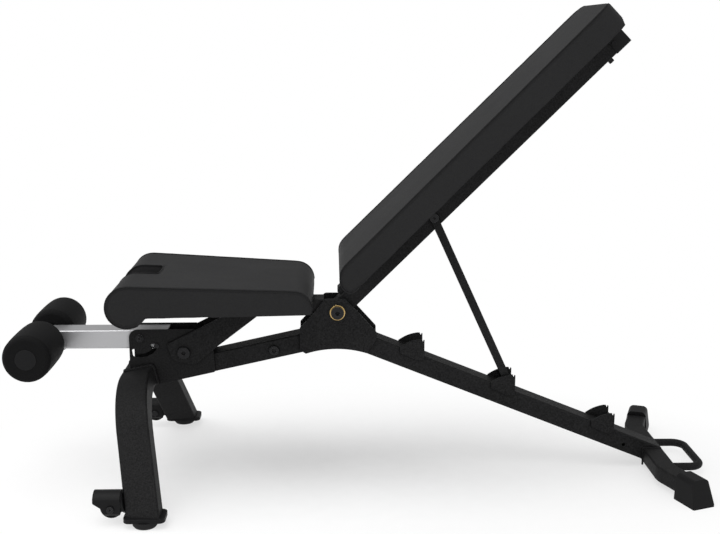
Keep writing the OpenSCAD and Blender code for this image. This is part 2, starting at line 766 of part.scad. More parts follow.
module brace_tube() color("#b9bcc0") difference() {
  translate([brace_head, 0, brace_z]) rotate([90, 0, 90])
    linear_extrude(brace_tail - brace_head) tube_section(brace_w, brace_h, 2, 3);
  side(-40, 80) {
    translate(brace_pivot) circle(d = bush_d + 0.1, $fn = 96);
    translate([brace_pivot[0] + lock_travel, brace_pivot[1]]) circle(d = bush_d + 0.1, $fn = 96);
    translate([brace_pivot[0], brace_pivot[1] - bush_d / 2 - 0.05]) square([lock_travel, bush_d + 0.1]);
  }
  across(pin_at, -60, 120, 7.6);
  across([roller_x, roller_z], -60, 120, 25);
}

module brace_plugs() color("#161617") for (e = [0, 1]) {
  x = e == 0 ? brace_head : brace_tail;
  translate([x, 0, brace_z]) mirror([e, 0, 0]) rotate([90, 0, 90]) {
    linear_extrude(8) rounded(brace_w - 4, brace_h - 4, 1);
    translate([0, 0, -2]) linear_extrude(2) rounded(brace_w, brace_h - 12 * e, 3);
  }
}

roller_in = 40;

module roller_bar() color("#b9bcc0") difference() {
  across([roller_x, roller_z], -roller_in - roller_l + 4, 2 * (roller_in + roller_l - 4), 25);
  across([roller_x, roller_z], -200, 400, 21);
}

module roller_end_plugs() color("#161617") both() {
  y = roller_in + roller_l - 4;
  across([roller_x, roller_z], y - 12, 12, 21);
  across([roller_x, roller_z], y, 4.5, 40);
}

module lock_pin() color("#6a6c70") {
  y = half_w + plate_t + 0.3;
  across(pin_at, -y, 2 * y, 7.6);
  across(pin_at, -y - 2.5, 2.5, 9.6);
  across(pin_at, y, 2.5, 9.6);
}

module roller_body() {
  r = roller_d / 2;
  translate([roller_x, roller_in + roller_l, roller_z]) rotate([90, 0, 0]) rotate_extrude($fn = 120)
    difference() {
      union() {
        translate([12.56, 0]) square([r - 6 - 12.56, roller_l]);
        translate([12.56, 6]) square([r - 12.56, roller_l - 18]);
        translate([r - 6, 6]) circle(6);
        translate([r - 12, roller_l - 12]) circle(12);
        translate([12.56, roller_l - 12]) square([r - 12 - 12.56, 12]);
      }
      translate([r - 12, roller_l - 12]) difference() {
        square([20, 20]);
        circle(12);
      }
      translate([0, -1]) square([20.3, 5.2]);
      translate([0, -50]) square([200, 50]);
    }
}

module foam_roller_far() color("#1a1a1b") roller_body();
module foam_roller_near() color("#1a1a1b") mirror([0, 1, 0]) roller_body();

// ---- nodes ---------------------------------------------------------------------------------------

main_tube();
rear_tube();
pivot_plate_near();
pivot_plate_far();
front_plate_near();
front_plate_far();
seat_arm_near();
seat_arm_far();
seat_rail();
seat_rail_plug();
front_leg_bow();
leg_cap_near();
leg_cap_far();
foot_pads();
wheel_fork_near();
wheel_fork_far();
wheel_axles();
rear_stabilizer();
stabilizer_shoe_near();
stabilizer_shoe_far();
rear_handle();
catch_upright();
catch_incline();
catch_flat();
pivot_bolt();
pivot_nut();
pivot_bushes();
bracket_bolt();
brace_pivot_bolt();
side_bolts();
seat_board();
seat_pad();
seat_screws();
wheel_near();
wheel_far();
pivot_sleeve();
backrest_tube();
backrest_hub();
backrest_board();
backrest_pad();
backrest_brackets();
backrest_screws();
backrest_end_cap();
backrest_bumper();
strut_bolt();
strut_sleeve();
strut_bar_near();
strut_bar_far();
strut_foot_rod();
brace_bush();
brace_tube();
brace_plugs();
roller_bar();
roller_end_plugs();
lock_pin();
foam_roller_near();
foam_roller_far();
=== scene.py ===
import json
from math import asin, cos, degrees, pi, radians, sin, sqrt, tan

import bmesh
import bpy
from bpy.props import FloatProperty, FloatVectorProperty, PointerProperty
from mathutils import Matrix, Vector
from mathutils.bvhtree import BVHTree
from mathutils.kdtree import KDTree


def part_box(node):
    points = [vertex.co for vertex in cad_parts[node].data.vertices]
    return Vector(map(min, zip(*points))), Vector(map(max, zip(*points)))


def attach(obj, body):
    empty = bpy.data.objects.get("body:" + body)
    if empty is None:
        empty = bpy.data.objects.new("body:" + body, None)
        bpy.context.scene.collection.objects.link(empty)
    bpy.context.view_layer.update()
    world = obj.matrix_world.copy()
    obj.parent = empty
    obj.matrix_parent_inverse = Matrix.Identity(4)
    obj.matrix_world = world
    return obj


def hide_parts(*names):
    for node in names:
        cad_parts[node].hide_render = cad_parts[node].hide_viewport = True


bl_info = {
    "name": "Adjustable Weight Bench",
    "version": (1, 0, 0),
    "blender": (4, 5, 0),
    "location": "View3D > Sidebar > Bench",
    "description": "Covers, foam, stitching, welds, fixings and finishes of an adjustable weight bench",
    "category": "Object",
}

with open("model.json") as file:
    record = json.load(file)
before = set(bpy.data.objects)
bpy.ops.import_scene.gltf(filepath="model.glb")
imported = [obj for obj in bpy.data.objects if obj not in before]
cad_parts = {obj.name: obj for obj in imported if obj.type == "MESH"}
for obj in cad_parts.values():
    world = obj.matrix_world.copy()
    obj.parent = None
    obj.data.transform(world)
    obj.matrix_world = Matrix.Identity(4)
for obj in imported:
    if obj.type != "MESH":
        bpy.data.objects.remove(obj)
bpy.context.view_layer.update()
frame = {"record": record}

# Places and slopes of the frame, in metres.
PIVOT = Vector((-0.058, 0.0, 0.340))  # the backrest's hinge
BACK_ANGLE = radians(44.7)  # the backrest above the level, at rest
MAIN_ANGLE = radians(12.35)  # the main tube above the level
REAR_ANGLE = radians(22.05)  # the rear tube below the level
RIDGE = Vector((-0.0468, 0.0, 0.3129))  # where the upper faces of both tubes meet
LEG_X = -0.415  # where the main tube's line starts at the front leg
BRACKETS = (0.190, 0.640)  # cross brackets, along the backrest tube
CATCHES = ("catch_upright", "catch_incline", "catch_flat")

# From the backrest's own frame, along its tube, across, and out of its face, to its place.
BACK_PLACE = Matrix.Translation(PIVOT) @ Matrix.Rotation(-BACK_ANGLE, 4, "Y")
SEAT_PLACE = Matrix.Identity(4)

# Sewing and filling of the pads.
SEAM_STEP = 0.003  # point to point along a seam
SNAP_SHARE = 0.75  # share of a voxel within which a point is drawn onto a seam
COVER_FRAMES = 20  # length of the cover's simulation
EASE_START, EASE_WIDTH = 0.004, 0.05  # from the seam, where the swelling begins and how far it grows
EASE_ROUNDS = 12  # smoothing of the swelling
DRAWN_WIDTH, DRAWN_DEPTH = 0.007, 0.0007  # the cover drawn in beside a seam
HEM_WIDTH, HEM_THICK = 0.0205, 0.0011  # cover turned under a board


# ---- settings ----


class PadSettings(bpy.types.PropertyGroup):
    """Sizes of the sewn seat and backrest pads."""

    swell: FloatProperty(
        name="Swell", description="Most that the cover may bulge", default=0.0026, min=0.001, max=0.012,
        unit="LENGTH")
    pressure: FloatProperty(
        name="Filling pressure", description="Pressure of the foam in the cover", default=4.0, min=0.5,
        max=10.0)
    seam_lip: FloatProperty(
        name="Seam lip", description="Radius of the turned seam along each edge", default=0.0011,
        min=0.0004, max=0.003, unit="LENGTH")
    stitch_gap: FloatProperty(
        name="Stitch spacing", description="Distance from stitch to stitch", default=0.0046, min=0.003,
        max=0.012, unit="LENGTH")
    stitch_inset: FloatProperty(
        name="Stitch inset", description="Distance from the seam to the stitches", default=0.0055,
        min=0.002, max=0.015, unit="LENGTH")


class FoamSettings(bpy.types.PropertyGroup):
    """Shape of the foam leg rollers."""

    edge: FloatProperty(
        name="Edge radius", description="Rounding of each end of the foam", default=0.011, min=0.003,
        max=0.02, unit="LENGTH")
    crown: FloatProperty(
        name="Crown", description="How far the middle stands above the ends", default=0.0012, min=0.0,
        max=0.005, unit="LENGTH")


class FixingSettings(bpy.types.PropertyGroup):
    """Screws, staples and weld beads."""

    screw_head: FloatProperty(
        name="Screw head", description="Diameter of the board screws' heads", default=0.0135, min=0.008,
        max=0.02, unit="LENGTH")
    staple_gap: FloatProperty(
        name="Staple spacing", description="Distance between the cover's staples", default=0.024,
        min=0.01, max=0.06, unit="LENGTH")
    bead: FloatProperty(
        name="Weld bead", description="Radius of the weld beads", default=0.0021, min=0.001, max=0.005,
        unit="LENGTH")


class FinishSettings(bpy.types.PropertyGroup):
    """Colours of the bench's finishes."""

    paint: FloatVectorProperty(
        name="Frame paint", description="Textured black powder coat", subtype="COLOR",
        default=(0.0122, 0.0122, 0.0125))
    cover: FloatVectorProperty(
        name="Pad cover", description="Grained black cover", subtype="COLOR",
        default=(0.0205, 0.0205, 0.0210))
    foam: FloatVectorProperty(
        name="Roller foam", description="Closed-cell black foam", subtype="COLOR",
        default=(0.0062, 0.0062, 0.0064))
    silver: FloatVectorProperty(
        name="Brace tube", description="Satin silver tube", subtype="COLOR", default=(0.44, 0.44, 0.45))
    brass: FloatVectorProperty(
        name="Pivot ring", description="Bright brass ring", subtype="COLOR", default=(0.72, 0.50, 0.20))


class StageSettings(bpy.types.PropertyGroup):
    """Camera and light."""

    lens: FloatProperty(
        name="Lens", description="Focal length on a 36 mm sensor", default=55.3, min=20.0, max=200.0)
    key: FloatProperty(
        name="Key light", description="Power of the large overhead light", default=50.0, min=0.0,
        max=500.0, subtype="POWER")
    fill: FloatProperty(
        name="Fill light", description="Strength of the surrounding light", default=0.92, min=0.0,
        max=2.0)


# ---- small helpers ----


def configure(thing, **settings):
    """Set several of a thing's properties."""
    for key, value in settings.items():
        setattr(thing, key, value)
    return thing


def add_object(name, data):
    obj = bpy.data.objects.new(name, data)
    bpy.context.scene.collection.objects.link(obj)
    return obj


def edit(mesh, action):
    """Let action change a mesh as a bmesh."""
    work = bmesh.new()
    work.from_mesh(mesh)
    action(work)
    work.to_mesh(mesh)
    work.free()


def face_outwards(mesh, merge=1e-6):
    def turn(work):
        bmesh.ops.remove_doubles(work, verts=work.verts, dist=merge)
        bmesh.ops.recalc_face_normals(work, faces=work.faces)

    edit(mesh, turn)


def object_from(name, verts, faces, turn=True):
    mesh = bpy.data.meshes.new(name)
    mesh.from_pydata([tuple(v) for v in verts], [], faces)
    mesh.update()
    mesh.shade_smooth()
    if turn:
        face_outwards(mesh)
    return add_object(name, mesh)


def surface_tree(mesh):
    """The mesh's surface, for a nearest search."""
    work = bmesh.new()
    work.from_mesh(mesh)
    tree = BVHTree.FromBMesh(work)
    work.free()
    return tree


def bake_modifiers(obj, name):
    """Plain mesh of an object with its modifiers applied, in place of the old one."""
    deps = bpy.context.evaluated_depsgraph_get()
    mesh = bpy.data.meshes.new_from_object(obj.evaluated_get(deps), depsgraph=deps)
    result = add_object(name, mesh)
    bpy.data.objects.remove(obj, do_unlink=True)
    return result


def dress(obj, material, body, node=None):
    """Give a piece its finish, unless its tree has set one, its body and what it replaces."""
    if material:
        obj.data.materials.clear()
        obj.data.materials.append(bpy.data.materials[material])
        obj.data.shade_smooth()
    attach(obj, body)
    if node:
        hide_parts(node)


def joined(name, parts):
    """One mesh object from several, with their places kept."""
    work = bmesh.new()
    for part in parts:
        work.from_mesh(part.data)
    mesh = bpy.data.meshes.new(name)
    work.to_mesh(mesh)
    work.free()
    for part in parts:
        bpy.data.objects.remove(part, do_unlink=True)
    return add_object(name, mesh)


def grid_faces(start, rows, columns, loop_rows=False, loop_columns=False):
    """Faces of a grid whose points lie row by row from start on; a looped side closes on itself."""
    return [(start + i * columns + k, start + i * columns + m, start + j * columns + m,
             start + j * columns + k)
            for i in range(rows if loop_rows else rows - 1) for j in [(i + 1) % rows]
            for k in range(columns if loop_columns else columns - 1) for m in [(k + 1) % columns]]


def mirrored(side):
    """A closed outline from its one side, which is given as (along, across)."""
    return [(x, -y) for x, y in side] + list(reversed(side))


def arc(cx, cy, r, a0, a1, n):
    return [(cx + r * cos(a), cy + r * sin(a))
            for a in (radians(a0 + (a1 - a0) * i / n) for i in range(n + 1))]


def spaced(points, step, closed=True):
    """The same outline with points at an even spacing."""
    pts = [Vector(p) for p in points]
    if closed:
        pts.append(pts[0])
    lengths = [(b - a).length for a, b in zip(pts, pts[1:])]
    total = sum(lengths)
    count = max(3, round(total / step))
    out, i, run = [], 0, 0.0
    for k in range(count if closed else count + 1):
        at = total * k / count
        while i < len(lengths) - 1 and run + lengths[i] < at:
            run += lengths[i]
            i += 1
        t = (at - run) / lengths[i] if lengths[i] else 0.0
        out.append(pts[i].lerp(pts[i + 1], min(max(t, 0.0), 1.0)))
    return out


def inset(points, d):
    """A closed flat outline moved inwards by d; it runs anticlockwise."""
    out = []
    for i, p in enumerate(points):
        a, b = points[i - 1], points[(i + 1) % len(points)]
        t = Vector((b[0] - a[0], b[1] - a[1])).normalized()
        out.append(Vector((p[0] - t.y * d, p[1] + t.x * d)))
    return out


def kept_runs(points, keep):
    """Index lists of the unbroken stretches of a closed outline that are kept."""
    n = len(points)
    start = next((i for i in range(n) if keep(points[i]) and not keep(points[i - 1])), 0)
    runs, run = [], []
    for i in [(start + k) % n for k in range(n)]:
        if keep(points[i]):
            run.append(i)
        elif run:
            runs.append(run)
            run = []
    return runs + [run] if run else runs


# ---- nodes ----


class Wiring:
    """Short ways to add nodes to one tree; a value is a number, a colour or another node's output."""

    def __init__(self, tree):
        self.tree = tree

    def fill(self, node, values):
        """Set or link a node's inputs, by name or number."""
        for key, value in values.items():
            if isinstance(value, bpy.types.NodeSocket):
                self.tree.links.new(value, node.inputs[key])
            else:
                node.inputs[key].default_value = value
        return node

    def node(self, kind, values=None, **settings):
        return self.fill(configure(self.tree.nodes.new(kind), **settings), values or {})

    def found(self, kind):
        return next(n for n in self.tree.nodes if n.type == kind)

    def group(self, name, values=None):
        return self.node("ShaderNodeGroup", values, node_tree=bpy.data.node_groups[name]).outputs

    def math(self, operation, a, b, clamp=False):
        return self.node("ShaderNodeMath", {0: a, 1: b}, operation=operation, use_clamp=clamp).outputs[0]

    def add(self, a, b, clamp=False):
        return self.math("ADD", a, b, clamp)

    def sub(self, a, b):
        return self.math("SUBTRACT", a, b)

    def mul(self, a, b, clamp=False):
        return self.math("MULTIPLY", a, b, clamp)

    def vector(self, operation, values):
        return self.node("ShaderNodeVectorMath", values, operation=operation).outputs

    def mix(self, share, a, b):
        """Colour between a and b."""
        values = {"Factor": share, "A": a, "B": b}
        return self.node("ShaderNodeMix", values, data_type="RGBA").outputs["Result"]

    def map_range(self, value, a, b, c, d):
        """What runs from a to b made to run from c to d, and held there."""
        return self.node("ShaderNodeMapRange", {
            "Value": value, "From Min": a, "From Max": b, "To Min": c, "To Max": d}).outputs["Result"]

    def place(self):
        """The point that is shaded, in its object's own space."""
        return self.node("ShaderNodeTexCoord").outputs["Object"]

    def noise(self, scale, detail=2.0, rough=0.5):
        return self.node("ShaderNodeTexNoise", {
            "Vector": self.place(), "Scale": scale, "Detail": detail, "Roughness": rough}).outputs["Fac"]


def new_group(kind, name, inputs, outputs):
    """A node group with its wiring, the outputs of its input node, and its output node.

    The sockets are given by name, with a default value or only a kind."""
    tree = bpy.data.node_groups.new(name, kind + "NodeTree")
    kinds = {float: "Float", int: "Int", tuple: "Vector"}
    for side, sockets in (("INPUT", inputs), ("OUTPUT", outputs)):
        for label, value in sockets.items():
            socket = tree.interface.new_socket(name=label, in_out=side, socket_type="NodeSocket" + (
                kinds.get(type(value)) or value))
            if type(value) in kinds:
                socket.default_value = value
    t = Wiring(tree)
    return t, t.node("NodeGroupInput").outputs, t.node("NodeGroupOutput")


def new_material(name):
    """A material, its wiring and its surface shader."""
    material = bpy.data.materials.new(name)
    material.use_nodes = True
    t = Wiring(material.node_tree)
    return material, t, t.found("BSDF_PRINCIPLED")


# ---- shader groups and finishes ----


def build_grain_group():
    """Fine texture of a painted or moulded surface: shade, roughness and height."""
    t, given, sink = new_group(
        "Shader", "Surface Grain",
        {"Grain per metre": 700.0, "Shade spread": 0.25, "Roughness": 0.5, "Roughness spread": 0.1},
        {"Shade": "Float", "Roughness": "Float", "Height": "Float"})
    fine = t.noise(given["Grain per metre"], 3.0, 0.6)
    speck, patch = t.sub(fine, 0.5), t.sub(t.noise(9.0), 0.5)
    tint = t.add(t.mul(speck, 2.0), t.mul(patch, 0.6))
    t.fill(sink, {
        "Shade": t.add(1.0, t.mul(tint, given["Shade spread"])),
        "Roughness": t.add(
            given["Roughness"], t.mul(t.add(speck, patch), given["Roughness spread"]), True),
        "Height": fine})


def build_leather_group():
    """Pebbled cover: small cells with creases between, and a soft broad variation."""
    t, given, sink = new_group(
        "Shader", "Cover Grain", {"Cells per metre": 620.0, "Crease depth": 1.0},
        {"Shade": "Float", "Height": "Float"})
    cells = t.node("ShaderNodeTexVoronoi", {
        "Vector": t.place(), "Scale": given["Cells per metre"], "Smoothness": 0.35},
        feature="SMOOTH_F1").outputs["Distance"]
    fine = t.noise(t.mul(given["Cells per metre"], 2.3), 2.0, 0.6)
    t.fill(sink, {
        "Shade": t.add(t.map_range(cells, 0.1, 0.8, 1.06, 0.86), t.mul(t.sub(t.noise(6.0), 0.5), 0.12)),
        "Height": t.sub(t.mul(fine, 0.35), t.mul(cells, given["Crease depth"]))})


def build_edge_group():
    """Softened edge: a normal rounded over the given radius, and a mask of the edges, along which the
    colour is lightened, partly for wear and partly as a painted highlight.
    """
    t, given, sink = new_group(
        "Shader", "Edge Wear", {"Radius": 0.0008, "Breakup per metre": 160.0},
        {"Mask": "Float", "Normal": "Vector"})
    soft = t.node("ShaderNodeBevel", {"Radius": given["Radius"]}, samples=4).outputs["Normal"]
    flat = t.node("ShaderNodeNewGeometry").outputs["Normal"]
    edge = t.map_range(t.vector("DOT_PRODUCT", {0: soft, 1: flat})["Value"], 0.995, 0.86, 0.0, 1.0)
    broken = t.map_range(t.noise(given["Breakup per metre"], 3.0, 0.6), 0.3, 0.65, 0.35, 1.0)
    t.fill(sink, {"Mask": t.mul(edge, broken, True), "Normal": soft})


def build_painted_shade_group():
    """Painted shade in corners, sockets and joints, from ambient occlusion: one out in the open, less where
    a surface is closed in.
    """
    t, given, sink = new_group(
        "Shader", "Crevice", {"Reach": 0.008, "Darkest": 0.25}, {"Shade": "Float"})
    # Painted shade: the colour darkens as nearby surfaces close in.
    near = t.node("ShaderNodeAmbientOcclusion", {"Distance": given["Reach"]}, samples=6).outputs["AO"]
    open_share = t.map_range(near, 0.35, 0.92, 0.0, 1.0)
    t.fill(sink, {"Shade": t.add(given["Darkest"], t.mul(open_share, t.sub(1.0, given["Darkest"])))})


def finish_material(name, colour, rough, metallic=0.0, specular=0.5, grain=(900.0, 0.15, 0.15), relief=None,
                    edge=None, corner=(0.008, 0.25), leather=False):
    """A grained finish, with painted shade in its hollows and edges lightened by wear and painted
    highlight, and a fine relief.

    grain is its number per metre and the spreads of shade and roughness, relief is strength and depth,
    edge is share, radius and colour of the lightened edges, and the painted shade is its reach and darkest
    shade."""
    _, t, shader = new_material(name)
    grains = t.group("Surface Grain", {
        "Grain per metre": grain[0], "Shade spread": grain[1], "Roughness": rough,
        "Roughness spread": grain[2]})
    shade, height = grains["Shade"], grains["Height"]
    if leather:
        cover = t.group("Cover Grain")
        shade, height = t.mul(shade, cover["Shade"]), cover["Height"]
    # Painted shade: the colour is darkened in corners, sockets and joints, where the surface is closed in.
    shade = t.mul(shade, t.group("Crevice", {"Reach": corner[0], "Darkest": corner[1]})["Shade"])
    base = t.vector("SCALE", {0: colour[:3], "Scale": shade})["Vector"]
    t.fill(shader, {"Metallic": metallic, "Specular IOR Level": specular, "Roughness": grains["Roughness"]})
    normal = {}
    # Edges lightened toward the edge colour, partly wear and partly a painted highlight.
    if edge:
        worn = t.group("Edge Wear", {"Radius": edge[1]})
        base = t.mix(t.mul(worn["Mask"], edge[0]), base, edge[2] + (1.0,))
        normal = {"Normal": worn["Normal"]}
    if relief:
        bump = t.node("ShaderNodeBump", {
            "Strength": relief[0], "Distance": relief[1], "Height": height, **normal})
        normal = {"Normal": bump.outputs["Normal"]}
    t.fill(shader, {"Base Color": base, **normal})


# Name, slot of the frame's parts that wear it, colour or its setting, roughness, and what else differs.
# Every edge colour is what the edges lighten to, partly for wear and partly as a painted highlight.
FINISHES = (
    ("powder_coat", "frame_paint", "paint", 0.55, dict(
        specular=0.06, grain=(380, 1.4, 0.3), relief=(1.0, 0.0006),
        edge=(0.8, 0.0011, (0.03, 0.03, 0.031)))),
    ("satin_silver", "brace_steel", "silver", 0.34, dict(
        metallic=0.85, grain=(900, 0.1, 0.12), relief=(0.15, 0.00005),
        edge=(0.5, 0.0008, (0.8, 0.8, 0.8)))),
    ("bright_brass", "brass", "brass", 0.2, dict(
        metallic=1.0, grain=(500, 0.1, 0.1), edge=(0.6, 0.0005, (0.95, 0.78, 0.42)))),
    # The bolts: a deep painted shade in their sockets, and a bright painted rim on their edges.
    ("dark_bolt", "bolt_steel", (0.014, 0.014, 0.015), 0.4, dict(
        metallic=0.3, specular=0.2, grain=(900, 0.25, 0.15), relief=(0.2, 0.00005),
        edge=(0.9, 0.0006, (0.16, 0.16, 0.165)), corner=(0.016, 0.02))),
    ("turned_steel", "bush_steel", (0.17, 0.17, 0.175), 0.28, dict(
        metallic=1.0, edge=(0.7, 0.0005, (0.6, 0.6, 0.6)))),
    ("moulded_rubber", "rubber", (0.0075, 0.0075, 0.0078), 0.62, dict(
        specular=0.22, grain=(900, 0.35, 0.2), relief=(0.5, 0.00012),
        edge=(0.7, 0.0014, (0.022, 0.022, 0.023)))),
    ("roller_foam", "foam", "foam", 0.66, dict(
        specular=0.05, grain=(1500, 0.5, 0.2), relief=(0.6, 0.00018))),
    ("grained_cover", "pad_cover", "cover", 0.52, dict(
        specular=0.03, grain=(240, 0.1, 0.12), relief=(0.4, 0.0002), leather=True)),
    ("cover_thread", None, (0.018, 0.018, 0.019), 0.55, dict(
        specular=0.08, grain=(2500, 0.4, 0.2), relief=(0.4, 0.00005))),
    ("painted_board", "board_wood", (0.012, 0.0115, 0.011), 0.7, dict(
        specular=0.2, grain=(300, 0.5, 0.2), relief=(0.5, 0.0002),
        edge=(0.5, 0.0008, (0.03, 0.027, 0.024)))),
    ("black_moulding", "black_plastic", (0.008, 0.008, 0.0084), 0.45, dict(
        specular=0.1, grain=(1100, 0.4, 0.15), relief=(0.35, 0.00008),
        edge=(0.8, 0.0012, (0.032, 0.032, 0.033)))),
    ("grey_moulding", "grey_plastic", (0.0075, 0.0075, 0.0078), 0.55, dict(
        specular=0.1, grain=(900, 0.3, 0.15), relief=(0.4, 0.00012),
        edge=(0.6, 0.0008, (0.035, 0.035, 0.036)))),
    ("bright_wire", None, (0.45, 0.45, 0.46), 0.3, dict(metallic=1.0, grain=(900, 0.1, 0.1))),
)


class BENCH_OT_finishes(bpy.types.Operator):
    """Build the node groups, make every finish and put them on the frame's own parts."""

    bl_idname = "bench.finishes"
    bl_label = "Finishes"

    def execute(self, context):
        for build in (build_grain_group, build_leather_group, build_edge_group, build_painted_shade_group,
                      build_run_tree, build_screw_tree):
            build()
        for name, _, colour, rough, others in FINISHES:
            if isinstance(colour, str):
                colour = getattr(context.scene.bench_finish, colour)
            finish_material(name, colour, rough, **others)
        worn = {slot: name for name, slot, *_ in FINISHES}
        for part in frame["record"]["subparts"]:
            obj = bpy.data.objects.get(part["node"])
            if obj is None:
                raise RuntimeError("no frame part named " + part["node"])
            material = bpy.data.materials[worn[part["material_slot"]]]
            if not obj.material_slots:
                obj.data.materials.append(material)
            for place in obj.material_slots:
                place.material = material
        return {"FINISHED"}


# ---- geometry node trees ----


def end_tree(t, geometry, given, sink):
    real = t.node("GeometryNodeRealizeInstances", {0: geometry})
    paint = t.node("GeometryNodeSetMaterial", {"Geometry": real.outputs[0], "Material": given["Material"]})
    t.fill(sink, {0: paint.outputs[0]})


def build_run_tree():
    """Equal small pieces along a path: stitches, or the ripples of a weld bead."""
    t, given, sink = new_group(
        "Geometry", "Pieces Along Path",
        {"Geometry": "Geometry", "Spacing": 0.005, "Radius": 0.0004, "Length": 0.003, "Unevenness": 0.1,
         "Seed": 3, "Material": "Material"}, {"Geometry": "Geometry"})
    path = t.node("GeometryNodeMeshToCurve", {"Mesh": given["Geometry"]})
    points = t.node("GeometryNodeCurveToPoints", {
        "Curve": path.outputs[0], "Length": given["Spacing"]}, mode="LENGTH").outputs
    piece = t.node("GeometryNodeMeshUVSphere", {"Segments": 8, "Rings": 5, "Radius": 1.0})
    size = t.node("ShaderNodeCombineXYZ", {
        "X": given["Radius"], "Y": given["Radius"], "Z": t.mul(given["Length"], 0.5)})
    scaled = t.node("GeometryNodeTransform", {"Geometry": piece.outputs["Mesh"], "Scale": size.outputs[0]})
    uneven = t.node("FunctionNodeRandomValue", data_type="FLOAT")
    low, high = [i for i, s in enumerate(uneven.inputs) if s.type == "VALUE"][:2]
    spread = given["Unevenness"]
    t.fill(uneven, {low: t.sub(1.0, spread), high: t.add(1.0, spread), "Seed": given["Seed"]})
    amount = next(s for s in uneven.outputs if s.type == "VALUE")
    laid = t.node("GeometryNodeInstanceOnPoints", {
        "Points": points["Points"], "Instance": scaled.outputs[0], "Rotation": points["Rotation"],
        "Scale": amount})
    end_tree(t, laid.outputs[0], given, sink)


def build_screw_tree():
    """Button-head socket screws with washers at the given points, all facing one way."""
    t, given, sink = new_group(
        "Geometry", "Socket Screws",
        {"Geometry": "Geometry", "Head": 0.0135, "Height": 0.0042, "Facing": (0.0, 0.0, -1.0),
         "Material": "Material"}, {"Geometry": "Geometry"})

    def cone(top, bottom, height, z, sides=32):
        body = t.node("GeometryNodeMeshCone", {
            "Vertices": sides, "Radius Top": top, "Radius Bottom": bottom, "Depth": height})
        place = t.node("ShaderNodeCombineXYZ", {"Z": z})
        return t.node("GeometryNodeTransform", {
            "Geometry": body.outputs["Mesh"], "Translation": place.outputs[0]}).outputs[0]

    head, height = given["Head"], given["Height"]
    shoulder = t.mul(height, 0.35)
    r = t.mul(head, 0.5)
    # Each cone reaches a little into the next, so that no two faces lie on each other.
    washer = cone(t.mul(head, 0.66), t.mul(head, 0.68), 0.0012, 0.0)
    lower = cone(r, r, t.add(shoulder, 0.0006), 0.0006)
    dome = cone(t.mul(head, 0.34), t.mul(head, 0.494), t.add(t.mul(height, 0.45), 0.0003),
                t.add(shoulder, 0.0009))
    socket = cone(t.mul(head, 0.2), t.mul(head, 0.2), height, t.mul(height, 0.5), 6)
    solid = t.node("GeometryNodeMeshBoolean", operation="UNION")
    for part in (washer, lower, dome):
        t.fill(solid, {"Mesh 2": part})
    cut = t.node("GeometryNodeMeshBoolean", {"Mesh 1": solid.outputs[0], "Mesh 2": socket},
                 operation="DIFFERENCE")
    turn = t.node("FunctionNodeAlignRotationToVector", {"Vector": given["Facing"]}, axis="Z")
    points = t.node("GeometryNodeMeshToPoints", {"Mesh": given["Geometry"]})
    laid = t.node("GeometryNodeInstanceOnPoints", {
        "Points": points.outputs[0], "Instance": cut.outputs[0], "Rotation": turn.outputs[0]})
    end_tree(t, laid.outputs[0], given, sink)


def grow(name, path, tree_name, values):
    """Run a geometry tree on a row of points, joined in turn, and keep the plain mesh."""
    mesh = bpy.data.meshes.new(name)
    mesh.from_pydata([tuple(p) for p in path], [(i, i + 1) for i in range(len(path) - 1)], [])
    base = add_object(name + "_run", mesh)
    modifier = base.modifiers.new("grow", "NODES")
    modifier.node_group = bpy.data.node_groups[tree_name]
    sockets = {item.name: item.identifier for item in modifier.node_group.interface.items_tree
               if item.item_type == "SOCKET" and item.in_out == "INPUT"}
    for label, value in values.items():
        modifier[sockets[label]] = value
    made = bake_modifiers(base, name)
    face_outwards(made.data, 1e-7)
    made.data.validate()
    return made


def pieces_along(name, paths, material, seed, spacing, radius, length, unevenness):
    """Equal small pieces along each path, as one object; each path has a seed of its own."""
    values = {"Spacing": spacing, "Radius": radius, "Length": length, "Unevenness": unevenness,
              "Material": bpy.data.materials[material]}
    return joined(name, [grow(name + "_part", path, "Pieces Along Path", dict(values, Seed=seed + i))
                         for i, path in enumerate(paths)])


# ---- sewn pads ----


def prism(name, outline, low, high, upright=True):
    """A straight solid from a flat outline, upright from low to high, or from side to side."""
    n = len(outline)
    verts = [(u, v, w) if upright else (u, w, v) for w in (low, high) for u, v in outline]
    faces = [tuple(reversed(range(n))), tuple(range(n, 2 * n))] + grid_faces(0, 2, n, loop_columns=True)
    return object_from(name, verts, faces)


def carve(obj, tool, operation):
    configure(obj.modifiers.new("carve", "BOOLEAN"), operation=operation, solver="EXACT", object=tool)
    plain = bake_modifiers(obj, obj.name + "_cut")
    bpy.data.objects.remove(tool, do_unlink=True)
    return plain


def cut_pad(name, profile, plan, cuts):
    """A pad's solid: its side outline held within its plan, less its cuts; each is outline, low, high."""
    shape = prism(name + "_shape", profile, -0.2, 0.2, upright=False)
    shape = carve(shape, prism(name + "_plan", *plan), "INTERSECT")
    for cut in cuts:
        shape = carve(shape, prism(name + "_tool", *cut), "DIFFERENCE")
    return shape


def half_width(x, start, wide, stop, narrow, end, bend):
    """Half the width at x of a tapered pad that ends with two rounded corners."""
    w = wide + (narrow - wide) * (x - start) / (stop - start)
    if x > end - bend:
        w -= bend - sqrt(max(0.0, bend ** 2 - (x - end + bend) ** 2))
    return w


def plan_outline(xs, end, bend, half):
    """Outline of a pad in its own plane: along it and across."""
    xs = xs + [end - bend] + [end - bend + bend * sin(radians(a)) for a in range(15, 91, 15)]
    return mirrored([(x, half(x)) for x in xs])


def seam_tree(paths):
    """Points of the seams, close together, for a nearest search."""
    points = [p for path in paths for p in spaced(path, 0.001, closed=False)]
    tree = KDTree(len(points))
    for i, p in enumerate(points):
        tree.insert(p, i)
    tree.balance()
    return tree


